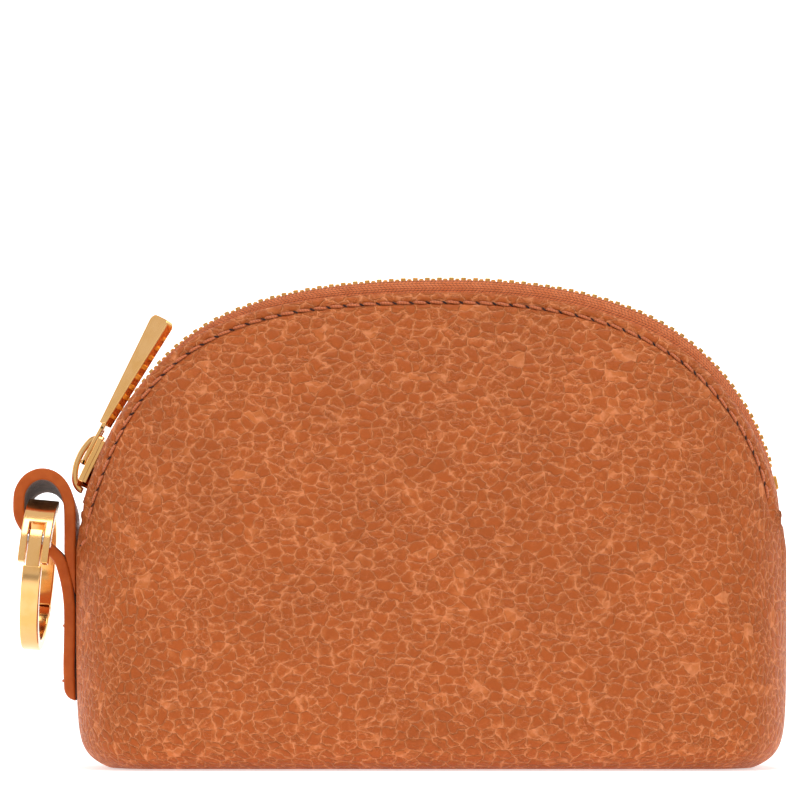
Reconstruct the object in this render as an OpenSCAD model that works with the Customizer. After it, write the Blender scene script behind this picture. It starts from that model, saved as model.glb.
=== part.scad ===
// Half-moon zippered pouch in grained leather, with a leather strap loop and a
// gated key ring at the left end of the zip.
// Millimetres. +X to the right, +Y to the back, +Z up.
// The origin is the centre of the base, on the surface the pouch stands on.

/* [Body] */
// Half the width of the leather body
half_w = 57.8; // [57:0.1:58.5]
// Front-to-back depth of the base
base_depth = 38; // [36:0.5:42]
// Distance between the two leather edges beside the zip
window = 9.2; // [9:0.1:9.6]
// Roundness of the panels from base to zip, lower is fuller
belly = 0.62; // [0.56:0.01:0.72]
// Radius of the folded edge around the base
base_round = 4; // [3.5:0.1:4.5]
// Thickness of the leather
leather_t = 1.3; // [1.1:0.05:1.4]
// Thickness of the lining cloth
lining_t = 0.45; // [0.3:0.05:0.5]

/* [Arch] */
// Height of the zip at its crest
crest_z = 79.65; // [79:0.05:80.5]
// Sideways place of the crest
crest_x = 3; // [2:0.1:4]
// Height of the two ends of the zip
end_z = 42; // [41:0.1:43]
// Lowest height of the fold where each panel opens
fold_z = 45; // [44.5:0.1:46]

/* [Zip] */
// Distance between two elements of one row
zip_pitch = 1.97; // [1.9:0.01:2.1]
// Place of the closed slider, measured along the zip from its left end
slider_at = 9; // [8.8:0.1:9.4]
// Tilt of the slider above the horizontal
slider_tilt = 65; // [64:0.5:67]
// Tilt of the pull above the horizontal
pull_tilt = 62; // [61:0.5:65]
// Twist of the pull about its own length
pull_twist = 42; // [30:1:50]

/* [Key ring and strap] */
// Outer radius of the ring
ring_r = 12.35; // [12:0.05:12.5]
// Thickness of the ring's band
ring_t = 1.8; // [1.6:0.1:2]
// Width of the ring's band
ring_w = 3; // [2.8:0.1:3.1]
// Lean of the ring from the vertical
ring_lean = 5.3; // [4:0.1:6]
// Width of the leather strap
strap_w = 9; // [8:0.5:10]
// Thickness of the strap
strap_t = 1.9; // [1.8:0.05:1.95]

/* [Hidden] */

// ---- the arch of the zip: two cubic curves that meet level at the crest ----
PL = [-half_w, end_z];
PR = [half_w, end_z];
PT = [crest_x, crest_z];
PL1 = PL + 31.4 * [cos(74.2), sin(74.2)];
PL2 = PT - [34.3, 0];
PR2 = PT + [34, 0];
PR1 = PR + 24.5 * [-cos(82.9), sin(82.9)];
function cubic(a, b, c, d, t) = a * pow(1 - t, 3) + 3 * b * t * pow(1 - t, 2)
    + 3 * c * t * t * (1 - t) + d * pow(t, 3);
function arch_t(t) = t <= 1 ? cubic(PL, PL1, PL2, PT, t) : cubic(PT, PR2, PR1, PR, t - 1);
NS = 90;
raw = [for (i = [0:NS]) arch_t(2 * i / NS)];
cum = [for (i = 0, a = 0; i <= NS; i = i + 1, a = a + (i <= NS ? norm(raw[i] - raw[i - 1]) : 0)) a];
L = cum[NS];
s_table = [for (i = [0:NS]) [cum[i], 2 * i / NS]];
function A(s) = arch_t(lookup(s, s_table));
function T(s) = let (d = A(min(L, s + 0.4)) - A(max(0, s - 0.4))) d / norm(d);
function N(s) = let (t = T(s)) [-t[1], t[0]];
function smooth(x) = let (c = min(1, max(0, x))) c * c * (3 - 2 * c);

// ---- leather edges: how far each lies inside the arch ----
function edge_w(s, sd) = sd < 0
    ? 0.6 + 1.6 * smooth((s / L - 0.12) / 0.38) - 1.2 * smooth((s / L - 0.84) / 0.16)
    : 0.6 + 1.0 * smooth((s / L - 0.05) / 0.2) - 0.8 * smooth((s / L - 0.84) / 0.16);
function E(s, sd) = A(s) - edge_w(s, sd) * N(s);
front_table = [for (i = [0:80]) let (p = E(L * i / 80, -1)) [p[0], p[1]]];
back_table = [for (i = [0:80]) let (p = E(L * i / 80, 1)) [p[0], p[1]]];
function Ztop(x, sd) = lookup(x, sd < 0 ? front_table : back_table);

// ---- the pillow surface of a panel: x across, t from base (0) to edge (1) ----
corner_x = 9;
half_d = base_depth / 2;
half_e = window / 2;
function round_off(x) = let (a = (abs(x) - (half_w - corner_x)) / corner_x)
    a <= 0 ? 1 : sqrt(max(0, 1 - a * a));
function depth_at(x, t) = half_e + (half_d - half_e) * round_off(x) * pow(max(0, 1 - t), belly);
function inset(z) = z >= base_round ? 0
    : base_round - sqrt(max(0, base_round * base_round - pow(base_round - z, 2)));
function P(x, t, sd) = let (z = t * Ztop(x, sd), k = inset(z))
    [x * (1 - k / half_w), sd * depth_at(x, t) * (1 - k / half_d), z];
function normal_at(x, t, sd) = let (
    x1 = min(half_w - 0.02, max(0.2 - half_w, x + 0.1)),
    x0 = x1 - 0.18, t0 = max(0.002, min(0.985, t - 0.006)), t1 = t0 + 0.012,
    c = cross(P(x1, t, sd) - P(x0, t, sd), P(x, t1, sd) - P(x, t0, sd)))
    -sd * c / norm(c);
function Q(x, t, sd, off) = P(x, t, sd) - off * normal_at(x, t, sd);

// ---- where the lips are parted from the tub ----
s_cut = 17;
lip_x0 = E(s_cut, -1)[0];
lip_x1 = E(L - s_cut, -1)[0];
function fold_at(x) = let (u = 2 * (x - lip_x0) / (lip_x1 - lip_x0) - 1)
    fold_z + 11 * pow(abs(u), 3);

// ---- solids from grids of points ----
function flip(f, on) = on ? [for (i = [len(f) - 1:-1:0]) f[i]] : f;
function quad(a, b, c, d, on) = [flip([a, b, c], on), flip([a, c, d], on)];
// a sheet with an outer and an inner grid of points
module sheet(o, n, on) {
    R = len(o); C = len(o[0]); K = R * C;
    pts = concat([for (r = o) for (p = r) p], [for (r = n) for (p = r) p]);
    fc = [
        for (r = [0:R - 2]) for (c = [0:C - 2]) each quad(r * C + c, (r + 1) * C + c, (r + 1) * C + c + 1, r * C + c + 1, on),
        for (r = [0:R - 2]) for (c = [0:C - 2]) each quad(K + r * C + c, K + r * C + c + 1, K + (r + 1) * C + c + 1, K + (r + 1) * C + c, on),
        for (c = [0:C - 2]) each quad(c, c + 1, K + c + 1, K + c, on),
        for (c = [0:C - 2]) each quad((R - 1) * C + c + 1, (R - 1) * C + c, K + (R - 1) * C + c, K + (R - 1) * C + c + 1, on),
        for (r = [0:R - 2]) each quad((r + 1) * C, r * C, K + r * C, K + (r + 1) * C, on),
        for (r = [0:R - 2]) each quad(r * C + C - 1, (r + 1) * C + C - 1, K + (r + 1) * C + C - 1, K + r * C + C - 1, on)];
    polyhedron(pts, fc, convexity = 8);
}
// a tub: closed loops of points, outer and inner, each with a floor
module tub(o, n) {
    R = len(o); C = len(o[0]); K = R * C;
    pts = concat([for (r = o) for (p = r) p], [for (r = n) for (p = r) p]);
    fc = [
        for (r = [0:R - 2]) for (c = [0:C - 1]) let (d = (c + 1) % C) each quad(r * C + c, (r + 1) * C + c, (r + 1) * C + d, r * C + d, false),
        for (r = [0:R - 2]) for (c = [0:C - 1]) let (d = (c + 1) % C) each quad(K + r * C + c, K + r * C + d, K + (r + 1) * C + d, K + (r + 1) * C + c, false),
        for (c = [0:C - 1]) let (d = (c + 1) % C) each quad((R - 1) * C + d, (R - 1) * C + c, K + (R - 1) * C + c, K + (R - 1) * C + d, false),
        [for (c = [0:C - 1]) c],
        [for (c = [C - 1:-1:0]) K + c]];
    polyhedron(pts, fc, convexity = 8);
}
// columns across one panel, denser round the corners and doubled beside the lips
function corner_cols(n) = [for (i = [0:n]) half_w - corner_x + corner_x * sin(90 - 68 * i / n)];
function columns(nc, ns) = concat(
    [for (x = corner_cols(nc)) -x], [lip_x0 - 0.3, lip_x0],
    [for (i = [1:ns - 1]) lip_x0 + (lip_x1 - lip_x0) * i / ns],
    [lip_x1, lip_x1 + 0.3], [for (i = [nc:-1:0]) corner_cols(nc)[i]]);
function rim_at(x, sd, gap) = x < lip_x0 - 0.1 || x > lip_x1 + 0.1 ? Ztop(x, sd) - 0.001 - 7 * gap
    : min(fold_at(x), Ztop(x, sd)) - 0.25 - gap;
// one closed loop at row v, from 0 at the lowest row to 1 at the rim
function loop(cols, v, off, z0, gap) = concat(
    [for (x = cols) let (z = z0 + (rim_at(x, -1, gap) - z0) * v) Q(x, z / Ztop(x, -1), -1, off)],
    [for (i = [len(cols) - 1:-1:0]) let (x = cols[i], z = z0 + (rim_at(x, 1, gap) - z0) * v) Q(x, z / Ztop(x, 1), 1, off)]);
function foot_loop(cols, z, off) = concat(
    [for (x = cols) Q(x, z / Ztop(x, -1), -1, off)],
    [for (i = [len(cols) - 1:-1:0]) Q(cols[i], z / Ztop(cols[i], 1), 1, off)]);
function at_z(lp, z) = [for (p = lp) [p[0], p[1], z]];

module leather_tub() color([0.80, 0.42, 0.19]) {
    cols = columns(6, 22);
    foot = [for (a = [0:22.5:67.5]) base_round * (1 - cos(a))];
    rows = 7;
    tub(concat([for (z = foot) z == 0 ? at_z(foot_loop(cols, 0.001, 0), 0) : foot_loop(cols, z, 0)],
               [for (i = [0:rows]) loop(cols, i / rows, 0, base_round, 0)]),
        concat([for (z = foot) z == 0 ? at_z(foot_loop(cols, 0.001, 0), leather_t) : foot_loop(cols, z, leather_t)],
               [for (i = [0:rows]) loop(cols, i / rows, leather_t, base_round, 0)]));
}
module lining_tub() color([0.55, 0.36, 0.22]) {
    cols = columns(5, 16);
    rows = 6; a = leather_t + 1.1; b = a + lining_t; zf = leather_t + 1.3;
    tub(concat([at_z(loop(cols, 0, a, base_round + 1.2, 0.4), zf)], [for (i = [0:rows]) loop(cols, i / rows, a, base_round + 1.2, 0.4)]),
        concat([at_z(loop(cols, 0, b, base_round + 1.2, 0.4), zf + lining_t)], [for (i = [0:rows]) loop(cols, i / rows, b, base_round + 1.2, 0.4)]));
}
module base_stiffener() color([0.62, 0.55, 0.45])
    translate([0, 0, leather_t + 0.1]) linear_extrude(1.0)
        polygon([for (q = [0:3]) for (a = [0:15:90]) let (g = a + 90 * q, sx = q == 0 || q == 3 ? 1 : -1, sy = q < 2 ? 1 : -1)
            [sx * (half_w - 13) + 6 * cos(g), sy * (half_d - 11) + 6 * sin(g)]]);

// ---- the lips, the parts of the panels that open beside the zip ----
function lip_t(x, v, sd, top) = let (t0 = min(0.985, fold_at(x) / Ztop(x, sd))) t0 + (top - t0) * (1 - pow(1 - v, 1.7));
module lip(sd, off0, off1, nc, nr, top) {
    rows = [for (r = [0:nr]) r / nr];
    xs = [for (c = [0:nc]) lip_x0 + 0.05 + (lip_x1 - lip_x0 - 0.1) * c / nc];
    sheet([for (v = rows) [for (x = xs) Q(x, lip_t(x, v, sd, top), sd, off0)]],
          [for (v = rows) [for (x = xs) Q(x, lip_t(x, v, sd, top), sd, off1)]], sd > 0);
}
module front_lip_leather() color([0.80, 0.42, 0.19]) lip(-1, 0, leather_t, 34, 7, 1);
module back_lip_leather() color([0.80, 0.42, 0.19]) lip(1, 0, leather_t, 34, 7, 1);
module lip_lining(sd) {
    a = leather_t + 1.1; b = a + lining_t;
    xs = [for (c = [0:24]) lip_x0 + 6 + (lip_x1 - lip_x0 - 12) * c / 24];
    function tv(x, v) = let (t0 = (fold_at(x) + 0.3) / Ztop(x, sd)) t0 + (0.9 - t0) * v;
    sheet([for (r = [0:4]) [for (x = xs) Q(x, tv(x, r / 4), sd, a)]],
          [for (r = [0:4]) [for (x = xs) Q(x, tv(x, r / 4), sd, b)]], sd > 0);
}
module front_lip_lining() color([0.55, 0.36, 0.22]) lip_lining(-1);
module back_lip_lining() color([0.55, 0.36, 0.22]) lip_lining(1);

// ---- stitches: short thread lengths let into the leather beside its edge ----
function stitch_xz(s, sd) = A(s) - (edge_w(s, sd) + 1.9) * N(s);
module stitch(s, sd) {
    q = stitch_xz(s, sd); t = min(0.999, q[1] / Ztop(q[0], sd)); d = T(s);
    translate([q[0], sd * (depth_at(q[0], t) + 0.02), q[1]]) rotate([0, -atan2(d[1], d[0]), 0])
        cube([2.0, 0.5, 0.5], center = true);
}
module stitches(sd, s0, s1) for (i = [0:floor((s1 - s0) / 2.7)]) stitch(s0 + 2.7 * i, sd);
module front_topstitch() color([0.72, 0.34, 0.14]) stitches(-1, s_cut + 2.5, L - s_cut - 2.5);
module back_topstitch() color([0.72, 0.34, 0.14]) stitches(1, s_cut + 2.5, L - s_cut - 2.5);
module end_topstitch() color([0.72, 0.34, 0.14]) for (sd = [-1, 1]) {
    stitches(sd, 4, s_cut - 2.6);
    stitches(sd, L - s_cut + 3.2, L - 4);
}

// ---- zip: chain line, elements, tapes ----
function chain_in(s) = 0.4 + 0.75 * (1 - smooth((min(s, L - s) - 16) / 26));
function chain(s) = A(s) - chain_in(s) * N(s);
module tooth(s, sd) {
    c = chain(s); d = T(s);
    translate([c[0], 0, c[1]]) rotate([0, -atan2(d[1], d[0]), 0])
        translate([-0.39, sd < 0 ? -2.1 : -0.35, -0.7]) cube([0.78, 2.45, 1.4]);
}
first_tooth = slider_at - 0.8;
n_teeth = floor((L - 7 - first_tooth) / (zip_pitch / 2));
function tooth_s(i) = first_tooth + i * zip_pitch / 2;
module teeth(sd, s0, s1) for (i = [0:n_teeth]) if (i % 2 == (sd < 0 ? 0 : 1) && tooth_s(i) >= s0 && tooth_s(i) < s1) tooth(tooth_s(i), sd);
module front_teeth() color([0.85, 0.66, 0.33]) teeth(-1, s_cut + 0.4, L - s_cut - 0.4);
module back_teeth() color([0.85, 0.66, 0.33]) teeth(1, s_cut + 0.4, L - s_cut - 0.4);
module end_teeth() color([0.85, 0.66, 0.33]) for (sd = [-1, 1]) {
    teeth(sd, 0, s_cut - 0.4);
    teeth(sd, L - s_cut + 0.4, L);
}
tape_t = 0.4;
function tape_in(s) = leather_t + 0.3 + 0.5 * (1 - smooth((min(s, L - s) - 13) / 10));
function tape_row(s, sd, k, off) = let (c = chain(s), n = N(s), x = min(half_w - 0.6, max(0.6 - half_w, E(s, sd)[0])))
    k == 0 ? [c[0] + (0.2 - off) * n[0], sd * 0.9, c[1] + (0.2 - off) * n[1]]
    : k == 1 ? [c[0] + (0.2 - off) * n[0], sd * (3.1 - 0.8 * off), c[1] + (0.2 - off) * n[1]]
    : k == 2 ? Q(x, 1, sd, tape_in(s) + off)
    : k == 3 ? Q(x, 0.985, sd, tape_in(s) + off)
    : Q(x, 0.945, sd, tape_in(s) + off);
module tape(sd, s0, s1, n) {
    ss = [for (i = [0:n]) s0 + (s1 - s0) * i / n];
    sheet([for (k = [4:-1:0]) [for (s = ss) tape_row(s, sd, k, 0)]],
          [for (k = [4:-1:0]) [for (s = ss) tape_row(s, sd, k, tape_t)]], sd < 0);
}
module front_tape() color([0.85, 0.46, 0.26]) tape(-1, s_cut + 0.3, L - s_cut - 0.3, 44);
module back_tape() color([0.85, 0.46, 0.26]) tape(1, s_cut + 0.3, L - s_cut - 0.3, 44);
module zip_end_left() color([0.85, 0.46, 0.26]) for (sd = [-1, 1]) tape(sd, 1.2, s_cut - 0.3, 10);
module zip_end_right() color([0.85, 0.46, 0.26]) for (sd = [-1, 1]) tape(sd, L - s_cut + 0.3, L - 1.2, 10);
module on_chain(s) { c = chain(s); d = T(s);
    translate([c[0], 0, c[1]]) rotate([0, -atan2(d[1], d[0]), 0]) children(); }
module top_stops() color([0.85, 0.66, 0.33]) for (sd = [-1, 1]) on_chain(1.9)
    translate([0, sd * 1.25, 0]) cube([1.5, 1.7, 1.5], center = true);
module bottom_stop() color([0.85, 0.66, 0.33]) on_chain(L - 4.6) cube([2.4, 3.4, 1.7], center = true);

// ---- slider: local u along the zip, n outward, y across ----
slider_o = [chain(slider_at)[0], chain(slider_at)[1]];
module slider_frame() translate([slider_o[0], 0, slider_o[1]]) rotate([0, -slider_tilt, 0]) children();
module plate_outline() polygon([[-5.5, -1.9], [-4.6, -3.1], [-1.8, -3.1], [1.2, -2.35], [3.0, -2.35], [3.6, -1.7],
    [3.6, 1.7], [3.0, 2.35], [1.2, 2.35], [-1.8, 3.1], [-4.6, 3.1], [-5.5, 1.9]]);
module slider_body() color([0.93, 0.76, 0.45]) slider_frame() {
    translate([0, 0, 1.15]) linear_extrude(0.95) plate_outline();
    translate([0, 0, -2.1]) linear_extrude(0.95) plate_outline();
    translate([-4.6, 0, -1.3]) linear_extrude(2.6)
        polygon([[-0.7, 0], [0.2, -0.8], [2.2, 0], [0.2, 0.8]]);
}
function pline(p, h) = let (m = len(p) - 1) concat(
    [for (i = [0:m]) let (d = p[min(m, i + 1)] - p[max(0, i - 1)], u = d / norm(d)) p[i] + h * [-u[1], u[0]]],
    [for (i = [m:-1:0]) let (d = p[min(m, i + 1)] - p[max(0, i - 1)], u = d / norm(d)) p[i] - h * [-u[1], u[0]]]);
crown_path = [[-6.15, 0.7], [-5.95, 1.6], [-5.2, 2.5], [-4.0, 3.15], [-2.4, 3.6], [-0.6, 3.7], [1.1, 3.45], [2.4, 2.95], [3.15, 2.1]];
module slider_crown() color([0.93, 0.76, 0.45]) slider_frame()
    rotate([90, 0, 0]) translate([0, 0, -0.8]) linear_extrude(1.6)
        difference() {
            polygon(pline(crown_path, 0.52));
            translate([-5.52, -1]) square([9.2, 3.1]);
        }
pivot_u = -1.6;
pivot_n = 2.62;
module puller() color([0.95, 0.78, 0.47]) slider_frame() translate([pivot_u, 0, pivot_n]) rotate([0, slider_tilt - pull_tilt, 0]) {
    rotate([90, 0, 0]) cylinder(h = 3.9, r = 0.42, center = true, $fn = 24);
    for (sd = [-1, 1]) translate([0, sd * 1.55, 0]) rotate([90, 0, 0]) translate([0, 0, -0.4]) linear_extrude(0.8)
        union() {
            circle(r = 0.42, $fn = 24);
            translate([0, -0.14]) square([6.6, 0.56]);
        }
    translate([6.2, -1.95, -0.3]) cube([1.2, 3.9, 0.72]);
    rotate([pull_twist, 0, 0]) translate([0, 0, -0.75]) linear_extrude(1.5)
        polygon(concat([[7.0, -0.85]],
            [for (a = [-90:22.5:0]) [25.2 + 1.2 * cos(a), -1.25 + 1.2 * sin(a)]],
            [for (a = [0:22.5:90]) [25.2 + 1.2 * cos(a), 1.25 + 1.2 * sin(a)]], [[7.0, 0.85]]));
}

// ---- strap: a strip folded into a loop, and its tail sewn down the side ----
side_x = -half_w - 0.12;
loop_path = [[side_x - 0.95, 31.2], [side_x - 0.95, 35], [side_x - 0.95, 39.5], [side_x - 1.1, 43], [-59.9, 45.6], [-61.5, 47.3],
    [-63.6, 47.8], [-65.6, 47.0], [-66.9, 45.2], [-67.2, 43.1], [-67.0, 40.8], [-65.8, 38.7], [-63.9, 36.9], [-62.1, 35.3], [-61.1, 33.6], [-60.86, 31.2]];
module strap_loop() color([0.76, 0.40, 0.19]) rotate([90, 0, 0]) translate([0, 0, -strap_w / 2])
    linear_extrude(strap_w) polygon(pline(loop_path, strap_t / 2));
tail_path = [[-60.75, 30.9], [-60.3, 29.5], [-59.3, 27.2], [side_x - 0.95, 24.5], [side_x - 0.97, 20], [side_x - 1.0, 16], [side_x - 0.98, 13], [side_x - 0.95, 12]];
module strap_tail() color([0.76, 0.40, 0.19]) rotate([90, 0, 0]) translate([0, 0, -strap_w / 2]) {
    linear_extrude(strap_w) polygon(concat(pline(tail_path, strap_t / 2), []));
    linear_extrude(strap_w) polygon([[side_x, 30.9], [side_x - 1.88, 30.9], [side_x - 1.2, 28.6], [side_x, 26.4]]);
    linear_extrude(strap_w) polygon([[side_x, 12.1], [side_x - 1.9, 12.1], [side_x - 1.5, 11.3], [side_x, 10.7]]);
}
module strap_stitches() color([0.72, 0.34, 0.14]) for (z = [14, 23]) for (i = [-1:1])
    translate([side_x - 1.75, i * 2.7, z]) cube([0.7, 1.9, 0.5], center = true);

// ---- key ring: local axis along X, angle f from +Y towards +Z ----
ring_c = [-64.35, 31.3];
rm = ring_r - ring_t / 2;
module ring_frame() translate([ring_c[0], 0, ring_c[1]]) rotate([0, ring_lean, 0]) children();
module band(f0, f1, r0, r1, w) rotate([0, 90, 0]) rotate([0, 0, f0 + 90])
    rotate_extrude(angle = f1 - f0, $fn = 96) translate([r0, -w / 2]) square([r1 - r0, w]);
pin_f = 150;
ring_in = ring_r - ring_t;
module at_pin() translate([0, rm * cos(pin_f), rm * sin(pin_f)]) rotate([0, 90, 0]) children();
module ring_body() color([0.95, 0.78, 0.45]) ring_frame() difference() {
    union() {
        band(325.5, 460, ring_in, ring_r, ring_w);
        band(98, 171, ring_in - 0.1, ring_r + 0.1, 4.9);
    }
    band(137, 175, ring_in - 1, ring_r + 1, 2.9);
    band(320, 333, ring_in - 1, ring_r - 0.75, ring_w + 2);
    at_pin() cylinder(h = 10, r = 0.5, center = true, $fn = 32);
}
module gate() color([0.95, 0.78, 0.45]) ring_frame() difference() {
    band(143, 331.5, ring_in, ring_r, ring_w);
    for (sd = [-1, 1]) translate([sd * 2.05, 0, 0]) band(140, 174, ring_in - 1, ring_r + 1, 2);
    band(324, 334, ring_r - 0.95, ring_r + 1, ring_w + 2);
    at_pin() cylinder(h = 10, r = 0.55, center = true, $fn = 32);
}
module gate_pin() color([0.88, 0.70, 0.38]) ring_frame() at_pin() cylinder(h = 4.9, r = 0.5, center = true, $fn = 32);
module gate_spring() color([0.8, 0.8, 0.8]) ring_frame() at_pin() for (sd = [-1, 1]) translate([0, 0, sd * 1.25])
    difference() {
        cylinder(h = 0.3, r = 0.8, center = true, $fn = 32);
        cylinder(h = 1, r = 0.53, center = true, $fn = 32);
    }

leather_tub();
front_lip_leather();
back_lip_leather();
lining_tub();
front_lip_lining();
back_lip_lining();
base_stiffener();
front_topstitch();
back_topstitch();
end_topstitch();
zip_end_left();
zip_end_right();
front_tape();
back_tape();
end_teeth();
front_teeth();
back_teeth();
top_stops();
bottom_stop();
slider_body();
slider_crown();
puller();
strap_tail();
strap_loop();
strap_stitches();
ring_body();
gate();
gate_pin();
gate_spring();
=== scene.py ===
import math

import bmesh
import bpy
import numpy as np
from mathutils import Matrix, Vector


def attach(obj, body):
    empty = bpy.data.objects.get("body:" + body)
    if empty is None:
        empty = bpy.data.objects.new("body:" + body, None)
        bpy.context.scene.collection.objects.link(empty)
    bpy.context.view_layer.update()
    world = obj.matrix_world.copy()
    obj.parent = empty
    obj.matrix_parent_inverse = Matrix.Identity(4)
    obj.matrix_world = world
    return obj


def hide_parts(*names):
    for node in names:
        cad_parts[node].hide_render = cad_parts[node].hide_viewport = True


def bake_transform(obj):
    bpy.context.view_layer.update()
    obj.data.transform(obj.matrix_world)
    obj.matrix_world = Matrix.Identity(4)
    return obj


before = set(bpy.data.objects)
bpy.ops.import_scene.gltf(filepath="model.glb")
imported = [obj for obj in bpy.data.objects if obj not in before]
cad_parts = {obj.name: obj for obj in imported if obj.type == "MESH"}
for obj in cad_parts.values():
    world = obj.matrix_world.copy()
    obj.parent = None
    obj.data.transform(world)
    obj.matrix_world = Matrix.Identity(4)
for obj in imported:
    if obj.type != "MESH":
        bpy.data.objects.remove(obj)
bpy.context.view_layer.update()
MM = 0.001

# ------------------------------------------------------------------ camera
cam_data = bpy.data.cameras.new("camera")
cam = bpy.data.objects.new("camera", cam_data)
bpy.context.scene.collection.objects.link(cam)
bpy.context.scene.camera = cam
CAM_D = 0.60
CAM_Z = 0.023
VIEW_W = 0.1312
cam.location = (-0.0051, -CAM_D, CAM_Z)
cam.rotation_euler = (math.radians(90), 0, 0)
cam_data.sensor_width = 36.0
cam_data.lens = 36.0 * CAM_D / VIEW_W
cam_data.shift_y = (0.0600 - CAM_Z) / VIEW_W
cam_data.shift_x = 0.0
cam_data.clip_start = 0.01
cam_data.clip_end = 20
cam_data.dof.use_dof = False

# ------------------------------------------------------------------ the pouch's own geometry, as the CAD has it (mm)
HALF_W, DEPTH, WINDOW, BELLY = 57.8, 38.0, 9.2, 0.62
CREST = np.array([3.0, 79.65])
END_Z = 42.0
LEATHER_T = 1.3
CORNER_X = 9.0
HALF_D, HALF_E = DEPTH / 2, WINDOW / 2


def cubic(a, b, c, d, t):
    t = np.asarray(t, float)[..., None]
    return a * (1 - t) ** 3 + 3 * b * t * (1 - t) ** 2 + 3 * c * t * t * (1 - t) + d * t**3


def rad(a):
    return math.radians(a)


PL, PR = np.array([-HALF_W, END_Z]), np.array([HALF_W, END_Z])
PL1 = PL + 31.4 * np.array([math.cos(rad(74.2)), math.sin(rad(74.2))])
PL2, PR2 = CREST - [34.3, 0], CREST + [34.0, 0]
PR1 = PR + 24.5 * np.array([-math.cos(rad(82.9)), math.sin(rad(82.9))])


def arch_t(t):
    t = np.asarray(t, float)
    return np.where((t <= 1)[..., None], cubic(PL, PL1, PL2, CREST, np.minimum(t, 1)), cubic(CREST, PR2, PR1, PR, np.maximum(t, 1) - 1))


_tt = np.linspace(0, 2, 4001)
_pp = arch_t(_tt)
_cum = np.concatenate([[0], np.cumsum(np.linalg.norm(np.diff(_pp, axis=0), axis=1))])
L = _cum[-1]


def A(s):
    return arch_t(np.interp(s, _cum, _tt))


def T(s):
    s = np.asarray(s, float)
    d = A(np.minimum(L, s + 0.2)) - A(np.maximum(0, s - 0.2))
    return d / np.linalg.norm(d, axis=-1, keepdims=True)


def N(s):
    t = T(s)
    return np.stack([-t[..., 1], t[..., 0]], -1)


def smooth(x):
    x = np.clip(x, 0, 1)
    return x * x * (3 - 2 * x)


def edge_w(s, sd):
    s = np.asarray(s, float)
    if sd < 0:
        return 0.6 + 1.6 * smooth((s / L - 0.12) / 0.38) - 1.2 * smooth((s / L - 0.84) / 0.16)
    return 0.6 + 1.0 * smooth((s / L - 0.05) / 0.2) - 0.8 * smooth((s / L - 0.84) / 0.16)


def E(s, sd):
    return A(s) - edge_w(s, sd)[..., None] * N(s)


_ss = np.linspace(0, L, 1201)
_tab = {sd: E(_ss, sd) for sd in (-1, 1)}


def z_top(x, sd):
    return np.interp(x, _tab[sd][:, 0], _tab[sd][:, 1])


def round_off(x):
    a = np.clip((np.abs(x) - (HALF_W - CORNER_X)) / CORNER_X, 0, 1)
    return np.sqrt(1 - a * a)


EPS = 0.012


def belly(t):
    return (np.power(np.maximum(0, 1 - t) + EPS, BELLY) - EPS**BELLY) / ((1 + EPS) ** BELLY - EPS**BELLY)


def inset(z):
    """How far the folded foot of the body draws in near the ground."""
    z = np.maximum(z, 0)
    return 4.1 * np.exp(-z / 1.8) + 1.2 * np.exp(-z / 6)


def chain_in(s):
    return 0.4 + 0.75 * (1 - smooth((np.minimum(s, L - s) - 16) / 26))


def chain(s):
    return A(s) - chain_in(s)[..., None] * N(s)


# ------------------------------------------------------------------ mesh helpers
def link(name, mesh):
    ob = bpy.data.objects.new(name, mesh)
    bpy.context.scene.collection.objects.link(ob)
    return ob


def mesh_from(name, verts, faces, uvs=None, mats=None, smooth_all=True):
    """verts in mm; uvs is one pair per vertex."""
    me = bpy.data.meshes.new(name)
    me.from_pydata([tuple(v * MM) for v in np.asarray(verts, float)], [], faces)
    if uvs is not None:
        layer = me.uv_layers.new(name="UVMap")
        idx = np.zeros(len(me.loops), np.int32)
        me.loops.foreach_get("vertex_index", idx)
        layer.data.foreach_set("uv", np.asarray(uvs, np.float32)[idx].ravel())
    if mats is not None:
        me.polygons.foreach_set("material_index", np.asarray(mats, np.int32))
    if smooth_all:
        me.polygons.foreach_set("use_smooth", [True] * len(me.polygons))
    me.update()
    me.validate()
    return link(name, me)


def grid_faces(R, C, wrap=False, base=0, flip=False):
    out = []
    for r in range(R - 1):
        for c in range(C if wrap else C - 1):
            d = (c + 1) % C
            q = (base + r * C + c, base + r * C + d, base + (r + 1) * C + d, base + (r + 1) * C + c)
            out.append(q[::-1] if flip else q)
    return out


def fix_normals(ob):
    bm = bmesh.new()
    bm.from_mesh(ob.data)
    bmesh.ops.recalc_face_normals(bm, faces=bm.faces)
    bm.to_mesh(ob.data)
    bm.free()


def add_bevel(ob, width, seg=3, angle=35):
    m = ob.modifiers.new("bevel", "BEVEL")
    m.width = width * MM
    m.segments = seg
    m.limit_method = "ANGLE"
    m.angle_limit = rad(angle)
    m.harden_normals = True
    m.use_clamp_overlap = True
    return ob


def prism(name, outline, h0, h1, matrix, bevel=0.15, seg=3, angle=35):
    """outline (mm) extruded from h0 to h1, placed by a 4x4 in mm."""
    n = len(outline)
    v = [Vector((p[0], p[1], h)) for h in (h0, h1) for p in outline]
    v = [matrix @ p for p in v]
    f = [tuple(range(n - 1, -1, -1)), tuple(range(n, 2 * n))] + [(i, (i + 1) % n, n + (i + 1) % n, n + i) for i in range(n)]
    ob = mesh_from(name, np.array([tuple(p) for p in v]), f)
    fix_normals(ob)
    if bevel:
        add_bevel(ob, bevel, seg, angle)
    return ob


def join(name, obs):
    """One object from several, with their modifiers applied."""
    dg = bpy.context.evaluated_depsgraph_get()
    bm = bmesh.new()
    for o in obs:
        me = bpy.data.meshes.new_from_object(o.evaluated_get(dg), depsgraph=dg)
        bm.from_mesh(me)
        bpy.data.meshes.remove(me)
    me = bpy.data.meshes.new(name)
    bm.to_mesh(me)
    bm.free()
    for o in obs:
        bpy.data.objects.remove(o)
    return link(name, me)


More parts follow.
